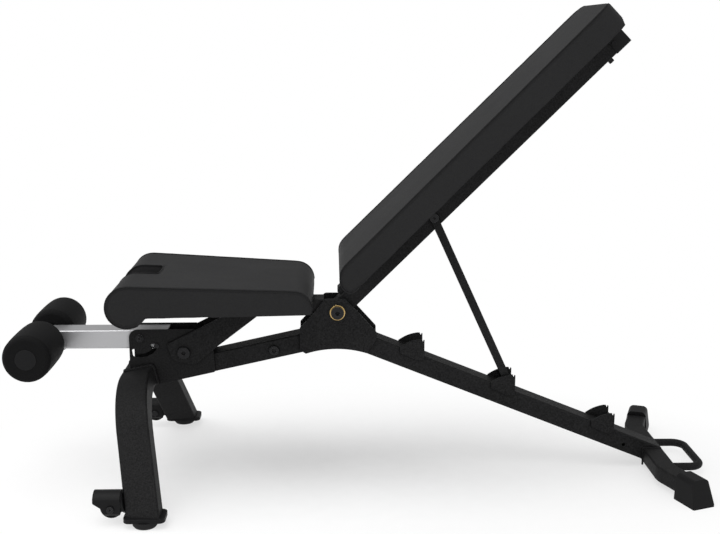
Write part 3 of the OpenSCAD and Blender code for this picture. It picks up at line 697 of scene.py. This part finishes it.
def lay_on(mesh, target, seams, reach):
    """Bring a remeshed skin back to the cut shape, and its nearest points onto the seams."""
    sewn = set()
    for vert in mesh.vertices:
        on_shape = target.find_nearest(vert.co)[0]
        place, _, gap = seams.find(on_shape)
        if gap < reach:
            sewn.add(vert.index)
        vert.co = place if gap < reach else on_shape
    return sewn


def inflate(pad, held, pads):
    """Places of the cover's points once the foam presses it outwards as cloth."""
    scene = bpy.context.scene
    pad.vertex_groups.new(name="held").add(held, 1.0, "REPLACE")
    cloth = pad.modifiers.new("cover", "CLOTH")
    configure(cloth.settings, use_pressure=True, uniform_pressure_force=pads.pressure,
              vertex_group_mass="held", quality=4)
    cloth.settings.effector_weights.gravity = 0.0
    cloth.collision_settings.use_collision = False
    configure(cloth.point_cache, frame_start=1, frame_end=COVER_FRAMES)
    for step in range(1, COVER_FRAMES + 1):
        scene.frame_set(step)
    deps = bpy.context.evaluated_depsgraph_get()
    grown = [v.co.copy() for v in pad.evaluated_get(deps).data.vertices]
    pad.modifiers.remove(cloth)
    scene.frame_set(1)
    return grown


def swell_pad(name, shape, seams, fold, bed, voxel, pads):
    """Foam-filled cover: the cut shape is remeshed, swollen, and eased to its seams.

    bed is where the cover lies against the board and can't move: past its x and below its z."""
    def resting(co):
        return co.x > bed[0] and co.z < bed[1]

    target, tree = surface_tree(shape.data), seam_tree(seams)
    configure(shape.modifiers.new("foam", "REMESH"), mode="VOXEL", voxel_size=voxel, adaptivity=0.0)
    pad = bake_modifiers(shape, name + "_foam")
    edit(pad.data, lambda work: bmesh.ops.smooth_vert(
        work, verts=work.verts, factor=0.5, use_axis_x=True, use_axis_y=True, use_axis_z=True))
    sewn = lay_on(pad.data, target, tree, voxel * SNAP_SHARE)
    folded = lay_on(pad.data, target, seam_tree([fold]), voxel * SNAP_SHARE)
    base = [v.co.copy() for v in pad.data.vertices]
    grown = inflate(pad, [i for i, co in enumerate(base) if i in sewn or resting(co)], pads)
    shift = []
    for old, new in zip(base, grown):
        move = new - old
        if move.length > pads.swell:
            move *= pads.swell / move.length
        near = min(1.0, max(0.0, (tree.find(old)[2] - EASE_START) / EASE_WIDTH))
        shift.append(Vector() if resting(old) else move * (near * near * (3.0 - 2.0 * near)))
    beside = [[] for _ in base]
    for edge in pad.data.edges:
        m, k = edge.vertices
        beside[m].append(k)
        beside[k].append(m)
    for _ in range(EASE_ROUNDS):
        shift = [sum((shift[k] for k in row), move * 2.0) / (len(row) + 2.0) if move.length > 1e-6 else move
                 for move, row in zip(shift, beside)]
    for vert, old, move in zip(pad.data.vertices, base, shift):
        vert.co = old + move
    pad.vertex_groups.clear()
    crease = pad.data.attributes.new("crease_edge", "FLOAT", "EDGE")
    for chosen, value in ((folded, 0.4), (sewn, 0.8)):
        for edge in pad.data.edges:
            if edge.vertices[0] in chosen and edge.vertices[1] in chosen:
                crease.data[edge.index].value = value
    configure(pad.modifiers.new("fine", "SUBSURF"), levels=1, render_levels=1)
    pad = bake_modifiers(pad, name)
    draw_in(pad.data, tree)
    return pad


def draw_in(mesh, seams):
    """The cover is drawn in a little beside each seam."""
    depths = [(v.index, seams.find(v.co)[2], v.normal.copy()) for v in mesh.vertices]
    for i, gap, normal in depths:
        if gap < DRAWN_WIDTH:
            mesh.vertices[i].co -= normal * (DRAWN_DEPTH * sin(pi * gap / DRAWN_WIDTH))
    mesh.update()


def on_surface(path, tree, lift):
    """A path laid on a surface and smoothed, raised by lift."""
    out = []
    for p in path:
        place, normal, _, _ = tree.find_nearest(p)
        out.append(place + normal * lift)
    return [sum(near, Vector()) / len(near) for near in (out[max(0, i - 2):i + 3] for i in range(len(out)))]


def rope(name, paths, radius, sides=8):
    """Round strips along open paths, with closed ends."""
    verts, faces = [], []
    for path in paths:
        start, n = len(verts), len(path)
        up = Vector((0.13, 0.97, 0.21)).normalized()
        for i, p in enumerate(path):
            along = (path[min(i + 1, n - 1)] - path[max(i - 1, 0)]).normalized()
            side = along.cross(up).normalized()
            up = side.cross(along).normalized()
            for k in range(sides):
                a = 2 * pi * k / sides
                verts.append(p + side * (radius * cos(a)) + up * (radius * sin(a)))
        faces += grid_faces(start, n, sides, loop_columns=True)
        faces.append(tuple(start + k for k in range(sides)))
        faces.append(tuple(start + (n - 1) * sides + k for k in reversed(range(sides))))
    return object_from(name, verts, faces)


def sewn_lines(profile, keep, half, drop):
    """Seams along both side panels, and rows of stitches just inside them."""
    loop = spaced(profile, SEAM_STEP)
    run = max(kept_runs(loop, keep), key=len)
    return [[[Vector((line[i][0], s * half(loop[i][0]), line[i][1])) for i in run] for s in (-1, 1)]
            for line in (loop, inset(loop, drop))]


def fold_line(plan, start, z):
    """Closed line along which the cover folds under the board, past the plan's start."""
    ring = [Vector((x, y, z)) for x, y in plan if x > start]
    return ring + [ring[0]]


def sew_pad(name, body, place, shape, seams, rows, fold, bed, voxel, pads):
    """A swollen pad with its welts and stitches, in their place on their body."""
    pad = swell_pad(name + "_cushion", shape, seams, fold, bed, voxel, pads)
    tree = surface_tree(pad.data)
    welt = rope(name + "_welts", [on_surface(p, tree, 0.0002) for p in seams], pads.seam_lip)
    thread = pieces_along(
        name + "_stitches", [on_surface(p, tree, 0.00005) for p in rows], "cover_thread", seed=11,
        spacing=pads.stitch_gap, radius=0.00042, length=pads.stitch_gap * 0.72, unevenness=0.06)
    for obj in (pad, welt, thread):
        obj.data.transform(place)
    dress(pad, "grained_cover", body, name + "_pad")
    dress(welt, "grained_cover", body)
    dress(thread, "cover_thread", body)


# The seat pad: heights and places in the bench's own frame.
SEAT_FLOOR = 0.3752  # top of the board
SEAT_HEM = 0.3633  # lower edge of the cover
SEAT_FRONT, SEAT_REAR = -0.497, -0.1066
SEAT_ROLL = (-0.4557, 0.3857, 0.0407)  # front roll: x, z and radius
SEAT_NOTCH = (-0.412, 0.0388)  # the front notch's rear end, and half its width
SEAT_BEND = 0.012  # rounding of the rear corners


def seat_profile():
    """Side outline of the seat pad: front roll, sloping top, rounded rear edge, and the underside."""
    cx, cz, r = SEAT_ROLL
    foot = degrees(asin((SEAT_HEM - cz) / r))
    pts = [(SEAT_REAR - 0.004, SEAT_HEM), (SEAT_REAR - 0.001, SEAT_HEM + 0.001),
           (SEAT_REAR, SEAT_HEM + 0.004)]
    pts += arc(SEAT_REAR - 0.037, 0.3743, 0.037, 0, 86, 16)
    pts += arc(cx, cz, r, 86.8, 360 + foot, 48)
    return pts


def seat_half(x):
    return half_width(x, SEAT_FRONT, 0.1687, SEAT_REAR, 0.1407, SEAT_REAR, SEAT_BEND)


def seat_plan():
    return plan_outline([-0.51, -0.46, -0.30], SEAT_REAR, SEAT_BEND, seat_half)


class BENCH_OT_seat_pad(bpy.types.Operator):
    """Sew and fill the seat pad with its front notch, its skirt drawn down over the board."""

    bl_idname = "bench.seat_pad"
    bl_label = "Seat pad"

    def execute(self, context):
        pads = context.scene.bench_pads
        nx, ny = SEAT_NOTCH
        notch = mirrored([(-0.6, ny), (nx - 0.006, ny), (nx, ny - 0.006)])
        bed = mirrored([(-0.4084, 0.1567), (-0.1135, 0.1336)])
        gap = mirrored([(-0.420, ny + 0.004), (-0.400, ny + 0.004)])
        shape = cut_pad("seat", seat_profile(), (seat_plan(), 0.3, 0.5), (
            (notch, 0.3, 0.5), (bed, 0.35, SEAT_FLOOR), (gap, 0.35, SEAT_FLOOR)))
        cx = SEAT_ROLL[0]
        seams, rows = sewn_lines(
            seat_profile(), lambda p: p[1] > SEAT_FLOOR - 0.004 or p[0] < cx + 0.025, seat_half,
            pads.stitch_inset)
        front = [p for p in seams[0] if p.x < nx and (p.z > SEAT_FLOOR or p.x < cx + 0.02)]
        lips = [[Vector((p.x, s * ny, p.z)) for p in front] for s in (-1, 1)]
        across = [Vector((nx, y * ny, front[0].z)) for y in (-0.9, -0.5, 0.0, 0.5, 0.9)]
        seams.append(lips[0][::-1] + across + lips[1])
        sew_pad("seat", "frame", SEAT_PLACE, shape, seams, rows, fold_line(seat_plan(), -0.45, SEAT_HEM),
                bed=(-0.414, SEAT_FLOOR + 0.002), voxel=0.004, pads=pads)
        return {"FINISHED"}


# The backrest pad in its own frame: along its tube from the hinge, and out of its face.
BACK_FLOOR = 0.0371  # top of the board
BACK_HEM = 0.0256  # lower edge of the cover
BACK_START, BACK_HEAD = 0.0592, 0.7872
BACK_TUCK = 0.0895  # where the seams end under the lower roll
BACK_NOSE = 0.0418  # height at which the roll stands out most
BACK_BEND = 0.030  # rounding of the head's corners


def back_profile():
    """Side outline of the backrest pad: roll at its lower end, long face, and square head."""
    pts = [(BACK_HEAD - 0.010, BACK_HEM), (BACK_HEAD - 0.003, BACK_HEM + 0.004),
           (BACK_HEAD, BACK_HEM + 0.010)]
    pts += arc(BACK_HEAD - 0.004, 0.0734, 0.004, 0, 90, 4)
    for a, b, first in ((0.037, 0.034, 90), (0.012, BACK_NOSE - BACK_HEM, 180)):
        turns = [radians(first + 4.5 * i) for i in range(21)]
        pts += [(BACK_START + a + a * cos(t), BACK_NOSE + b * sin(t)) for t in turns[first > 90:]]
    return pts


def back_half(x):
    return half_width(x, 0.0603, 0.1419, 0.791, 0.1180, BACK_HEAD, BACK_BEND)


def back_plan():
    return plan_outline([0.05, 0.11, 0.4], BACK_HEAD, BACK_BEND, back_half)


class BENCH_OT_backrest_pad(bpy.types.Operator):
    """Sew and fill the backrest pad, its skirt drawn down over the board, with a plain head."""

    bl_idname = "bench.backrest_pad"
    bl_label = "Backrest pad"

    def execute(self, context):
        pads = context.scene.bench_pads
        r = BACK_BEND - 0.0064
        bed = mirrored([(0.1102, 0.1330)] + arc(0.7790 - r, 0.1100 - r, r, 0, 90, 10)[::-1])
        shape = cut_pad("backrest", back_profile(), (back_plan(), 0.0, 0.1), ((bed, 0.0, BACK_FLOOR),))
        seams, rows = sewn_lines(
            back_profile(), lambda p: p[1] > BACK_HEM + 0.006 or p[0] < BACK_TUCK, back_half,
            pads.stitch_inset)
        sew_pad("backrest", "backrest", BACK_PLACE, shape, seams, rows,
                fold_line(back_plan(), 0.1, BACK_HEM), bed=(0.106, BACK_FLOOR + 0.002), voxel=0.0046,
                pads=pads)
        return {"FINISHED"}


# ---- other pieces ----

FOAM_BORE = 0.0127
FOAM_TURNS = 96


def foam_profile(half, r, foam):
    """Half section of a roller: from the bore over its rounded ends and back, as (y, radius)."""
    e = foam.edge
    side = [(-half + 0.0012, FOAM_BORE), (-half + 0.0002, FOAM_BORE + 0.006), (-half, r - e - 0.012),
            (-half + 0.0002, r - e)]
    side += arc(-half + e, r - e - foam.crown, e, 171, 90, 9)
    side += [(half * u, r - foam.crown * u * u) for u in (-0.6, -0.4, -0.2, 0.0)]
    return side + [(-y, q) for y, q in reversed(side[:-1])]


class BENCH_OT_foam_rollers(bpy.types.Operator):
    """Turn the two foam leg rollers with rounded ends."""

    bl_idname = "bench.foam_rollers"
    bl_label = "Foam rollers"

    def execute(self, context):
        for side, body in (("near", "roller_n"), ("far", "roller_f")):
            low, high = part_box("foam_roller_" + side)
            mid = (low + high) / 2
            r = (high.z - low.z) / 2 - 0.0003
            profile = foam_profile((high.y - low.y) / 2, r, context.scene.bench_foam)
            verts = []
            for k in range(FOAM_TURNS):
                a = 2 * pi * k / FOAM_TURNS
                for y, q in profile:
                    # A slight unevenness that fades towards the bore.
                    w = q * (1.0 + 0.0022 * sin(3 * a + 40 * y) * min(1.0, (q - FOAM_BORE) / r))
                    verts.append((mid.x + w * cos(a), mid.y + y, mid.z + w * sin(a)))
            faces = grid_faces(0, FOAM_TURNS, len(profile), True, True)
            roller = object_from("foam_sleeve_" + side, verts, faces)
            dress(roller, "roller_foam", body, "foam_roller_" + side)
        return {"FINISHED"}


class BENCH_OT_screws(bpy.types.Operator):
    """Socket screws and washers that hold both boards."""

    bl_idname = "bench.screws"
    bl_label = "Board screws"

    def execute(self, context):
        low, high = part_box("seat_screws")
        seat = [Vector((x, 0.0, low.z + 0.0049)) for x in (low.x + 0.0075, high.x - 0.0075)]
        back = [BACK_PLACE @ Vector((a, y, 0.0249)) for a in BRACKETS for y in (-0.078, 0.078)]
        behind = (sin(BACK_ANGLE), 0.0, -cos(BACK_ANGLE))
        for name, body, points, facing in (
                ("seat_screw", "frame", seat, (0.0, 0.0, -1.0)),
                ("backrest_screw", "backrest", back, behind)):
            made = grow(name + "_heads", points, "Socket Screws", {
                "Head": context.scene.bench_fixings.screw_head, "Facing": facing,
                "Material": bpy.data.materials["dark_bolt"]})
            dress(made, None, body, name + "s")
        return {"FINISHED"}


def turned_hem(name, outline, keep, under):
    """Cover folded under a board, a little uneven at its inner edge, and the lines of its staples.

    under is the height of the board's lower face."""
    ring = spaced(outline, 0.006)
    rows = [[Vector((p[0], p[1], under - z)) for p in inset(ring, d)] for d, z in (
        (0.0090, 0.0001), (0.0070, HEM_THICK * 1.2), (HEM_WIDTH * 0.6, HEM_THICK * 1.3),
        (HEM_WIDTH, HEM_THICK))]
    for i, p in enumerate(rows[3]):
        shift = 0.0012 * sin(i * 0.7 + 1.3) + 0.0008 * sin(i * 1.9 + 2.6)
        p += (p - rows[2][i]).normalized() * shift
    rows.append([Vector((p.x, p.y, under - 0.0001)) for p in rows[3]])
    verts, faces, paths = [], [], []
    middle = inset(ring, HEM_WIDTH * 0.62)
    for run in kept_runs(ring, keep):
        start, n = len(verts), len(run)
        verts += [row[i] for row in rows for i in run]
        faces += grid_faces(start, len(rows), n, loop_rows=True)
        faces += [tuple(start + k * n + i for k in range(len(rows))) for i in (0, n - 1)]
        paths.append([Vector((middle[i][0], middle[i][1], under - 0.0014)) for i in run[2:-2]])
    return object_from(name, verts, faces), paths


class BENCH_OT_hems(bpy.types.Operator):
    """Turn the covers under both boards and staple them."""

    bl_idname = "bench.hems"
    bl_label = "Cover hems"

    def execute(self, context):
        gap = context.scene.bench_fixings.staple_gap
        for name, outline, keep, under, body, place in (
                ("backrest", back_plan(), lambda p: p[0] > 0.118, 0.0280, "backrest", BACK_PLACE),
                ("seat", seat_plan(), lambda p: -0.402 < p[0] < -0.122, 0.3660, "frame", SEAT_PLACE)):
            hem, paths = turned_hem(name + "_hem", outline, keep, under)
            staples = pieces_along(name + "_staples", paths, "bright_wire", seed=5, spacing=gap,
                                   radius=0.00055, length=0.0105, unevenness=0.04)
            for obj in (hem, staples):
                obj.data.transform(place)
            dress(hem, "grained_cover", body)
            dress(staples, "bright_wire", body)
        return {"FINISHED"}


def frame_weld_paths():
    """Where the rear tube stands on the stabilizer, under the catches, and round the handle's ends."""
    paths = []

    def straight(*ends):
        paths.append(spaced([Vector(p) for p in ends], 0.004, closed=False))

    foot, side, top = 0.580, 0.0252, 0.043
    low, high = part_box("rear_handle")
    for s in (-1, 1):
        straight((foot, s * side, 0.008), (foot, s * side, top))
        straight((foot, s * side, top), (0.6165, s * side, top))
        for node in CATCHES:
            a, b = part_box(node)
            straight(*((x, s * 0.0256, RIDGE.z - tan(REAR_ANGLE) * (level - RIDGE.x) - 0.0005)
                       for x, level in ((a.x + 0.001, a.x + 0.001), (b.x - 0.005, b.x - 0.001))))
    for s in (-1, 1):
        paths.append([Vector((0.6203, s * 0.069 + y, (low.z + high.z) / 2 + z))
                      for y, z in arc(0.0, 0.0, 0.0088, 0, 360, 30)])
    return paths


def backrest_weld_paths():
    """Round each cross bracket, at its two long edges and where it crosses the tube's sides."""
    paths = []
    for a in BRACKETS:
        for s in (-1, 1):
            for e in (-0.016, 0.016):
                paths.append([(a + e, s * y * 0.001, 0.0192) for y in range(1, 19, 3)])
            paths.append([(a + x * 0.001, s * 0.0192, 0.0195) for x in range(-15, 16, 3)])
    return [[BACK_PLACE @ Vector(p) for p in path] for path in paths]


def leg_weld_paths():
    """Round the leg's top at both plates, laid out along the main tube."""
    turn = Matrix.Rotation(-MAIN_ANGLE, 3, "Y")
    outline = [(-0.0245, 0.231)] + arc(0.0275, 0.227, 0.004, 90, 0, 4) + [(0.0315, 0.195)]
    return [spaced([Vector((LEG_X, s * 0.0315, 0.0)) + turn @ Vector((x, 0.0, z)) for x, z in outline],
                   SEAM_STEP, closed=False) for s in (-1, 1)]


class BENCH_OT_welds(bpy.types.Operator):
    """Rippled weld beads where tubes, catches and plates join."""

    bl_idname = "bench.welds"
    bl_label = "Weld beads"

    def execute(self, context):
        bead = context.scene.bench_fixings.bead
        for name, body, paths, r in (
                ("frame_weld_beads", "frame", frame_weld_paths(), bead),
                ("backrest_weld_beads", "backrest", backrest_weld_paths(), bead),
                ("leg_weld_beads", "frame", leg_weld_paths(), bead * 2.5)):
            beads = pieces_along(name, paths, "powder_coat", seed=20, spacing=r * 0.75, radius=r,
                                 length=r * 1.7, unevenness=0.12)
            dress(beads, "powder_coat", body)
        return {"FINISHED"}


# ---- stage ----


def build_floor():
    """A pale floor that takes the bench's shadow near it and fades into the white further off."""
    floor = object_from("studio_floor", [(-9, -9, 0), (9, -9, 0), (9, 9, 0), (-9, 9, 0)], [(0, 1, 2, 3)],
                        turn=False)
    material, t, shader = new_material("pale_floor")
    tone = t.mix(t.noise(30.0), (0.83, 0.83, 0.83, 1), (0.87, 0.87, 0.87, 1))
    t.fill(shader, {"Roughness": 0.75, "Specular IOR Level": 0.2, "Base Color": tone})
    glow = t.node("ShaderNodeEmission", {"Strength": 1.0})
    rays = t.node("ShaderNodeLightPath").outputs
    seen = t.math("MAXIMUM", rays["Is Camera Ray"],
                  t.math("MAXIMUM", rays["Is Glossy Ray"], rays["Is Transmission Ray"]))
    away = t.vector("LENGTH", {0: t.vector("MULTIPLY", {0: t.place(), 1: (1.0, 1.6, 1.0)})["Vector"]})
    share = t.map_range(away["Value"], 0.10, 0.92, 0.06, 1.0)
    mixed = t.node("ShaderNodeMixShader", {
        0: t.mul(seen, share, True), 1: shader.outputs[0], 2: glow.outputs[0]})
    t.fill(t.found("OUTPUT_MATERIAL"), {"Surface": mixed.outputs[0]})
    floor.data.materials.append(material)


def build_world(scene, fill):
    """White wherever it is seen; its light is softer from behind the bench than from the front."""
    world = bpy.data.worlds.new("studio")
    world.use_nodes = True
    scene.world = world
    t = Wiring(world.node_tree)
    rays = t.node("ShaderNodeLightPath").outputs
    seen = t.math("MAXIMUM", rays["Is Camera Ray"], rays["Is Transmission Ray"])
    facing = t.node("ShaderNodeSeparateXYZ", {0: t.node("ShaderNodeTexCoord").outputs["Generated"]})
    soft = t.map_range(facing.outputs["Y"], -0.3, 0.9, fill * 1.04, fill * 0.55)
    strength = t.add(seen, t.mul(t.sub(1.0, seen), soft))
    t.fill(t.found("BACKGROUND"), {"Color": (1, 1, 1, 1), "Strength": strength})


# Soft lights: name, place, what it points at, size, and share of the key light's power.
LAMPS = (
    ("overhead_softbox", (-1.1, -0.6, 3.0), (0.05, 0.0, 0.3), (2.6, 2.6), 1.0),
    ("head_end_softbox", (-3.2, 0.4, 1.7), (-0.1, 0.0, 0.4), (1.6, 2.2), 0.45),
    ("side_softbox", (1.2, -3.4, 1.6), (0.1, 0.0, 0.35), (2.4, 1.6), 0.22),
)


class BENCH_OT_stage(bpy.types.Operator):
    """Pale floor, soft lights, white surroundings and the camera."""

    bl_idname = "bench.stage"
    bl_label = "Stage"

    def execute(self, context):
        look, scene = context.scene.bench_stage, context.scene
        build_floor()
        build_world(scene, look.fill)
        for name, place, aim, size, share in LAMPS:
            data = configure(
                bpy.data.lights.new(name, "AREA"), shape="RECTANGLE", size=size[0], size_y=size[1],
                energy=look.key * share)
            turn = (Vector(aim) - Vector(place)).to_track_quat("-Z", "Y").to_euler()
            configure(add_object(name, data), location=place, rotation_euler=turn)
        data = configure(bpy.data.cameras.new("camera"), sensor_width=36.0, lens=look.lens)
        turn = (radians(78.135), 0.0, radians(-1.443))
        scene.camera = configure(
            add_object("camera", data), location=(-0.067, -2.195, 0.889), rotation_euler=turn)
        scene.view_settings.view_transform = "Standard"
        return {"FINISHED"}


# ---- panel and running ----


class BENCH_PT_panel(bpy.types.Panel):
    """Everything that dresses the bench, in the order in which it is made."""

    bl_idname = "BENCH_PT_panel"
    bl_label = "Weight Bench"
    bl_space_type = "VIEW_3D"
    bl_region_type = "UI"
    bl_category = "Bench"

    def draw(self, context):
        for name, _ in GROUPS:
            group = getattr(context.scene, name)
            box = self.layout.box()
            box.label(text=name.removeprefix("bench_").capitalize())
            for field in group.bl_rna.properties:
                if field.identifier not in ("rna_type", "name"):
                    box.prop(group, field.identifier)
        for op in OPERATORS:
            self.layout.operator(op.bl_idname)


GROUPS = (("bench_pads", PadSettings), ("bench_foam", FoamSettings), ("bench_fixings", FixingSettings),
          ("bench_finish", FinishSettings), ("bench_stage", StageSettings))
OPERATORS = (BENCH_OT_finishes, BENCH_OT_stage, BENCH_OT_seat_pad, BENCH_OT_backrest_pad,
             BENCH_OT_foam_rollers, BENCH_OT_screws, BENCH_OT_hems, BENCH_OT_welds)


def register():
    for name, group in GROUPS:
        bpy.utils.register_class(group)
        setattr(bpy.types.Scene, name, PointerProperty(type=group))
    for cls in OPERATORS + (BENCH_PT_panel,):
        bpy.utils.register_class(cls)


def unregister():
    for cls in reversed(OPERATORS + (BENCH_PT_panel,)):
        bpy.utils.unregister_class(cls)
    for name, group in reversed(GROUPS):
        delattr(bpy.types.Scene, name)
        bpy.utils.unregister_class(group)


def main():
    register()
    for cls in OPERATORS:
        space, name = cls.bl_idname.split(".")
        if getattr(getattr(bpy.ops, space), name)() != {"FINISHED"}:
            raise RuntimeError(cls.bl_label + " did not finish")


if __name__ == "__main__":
    main()
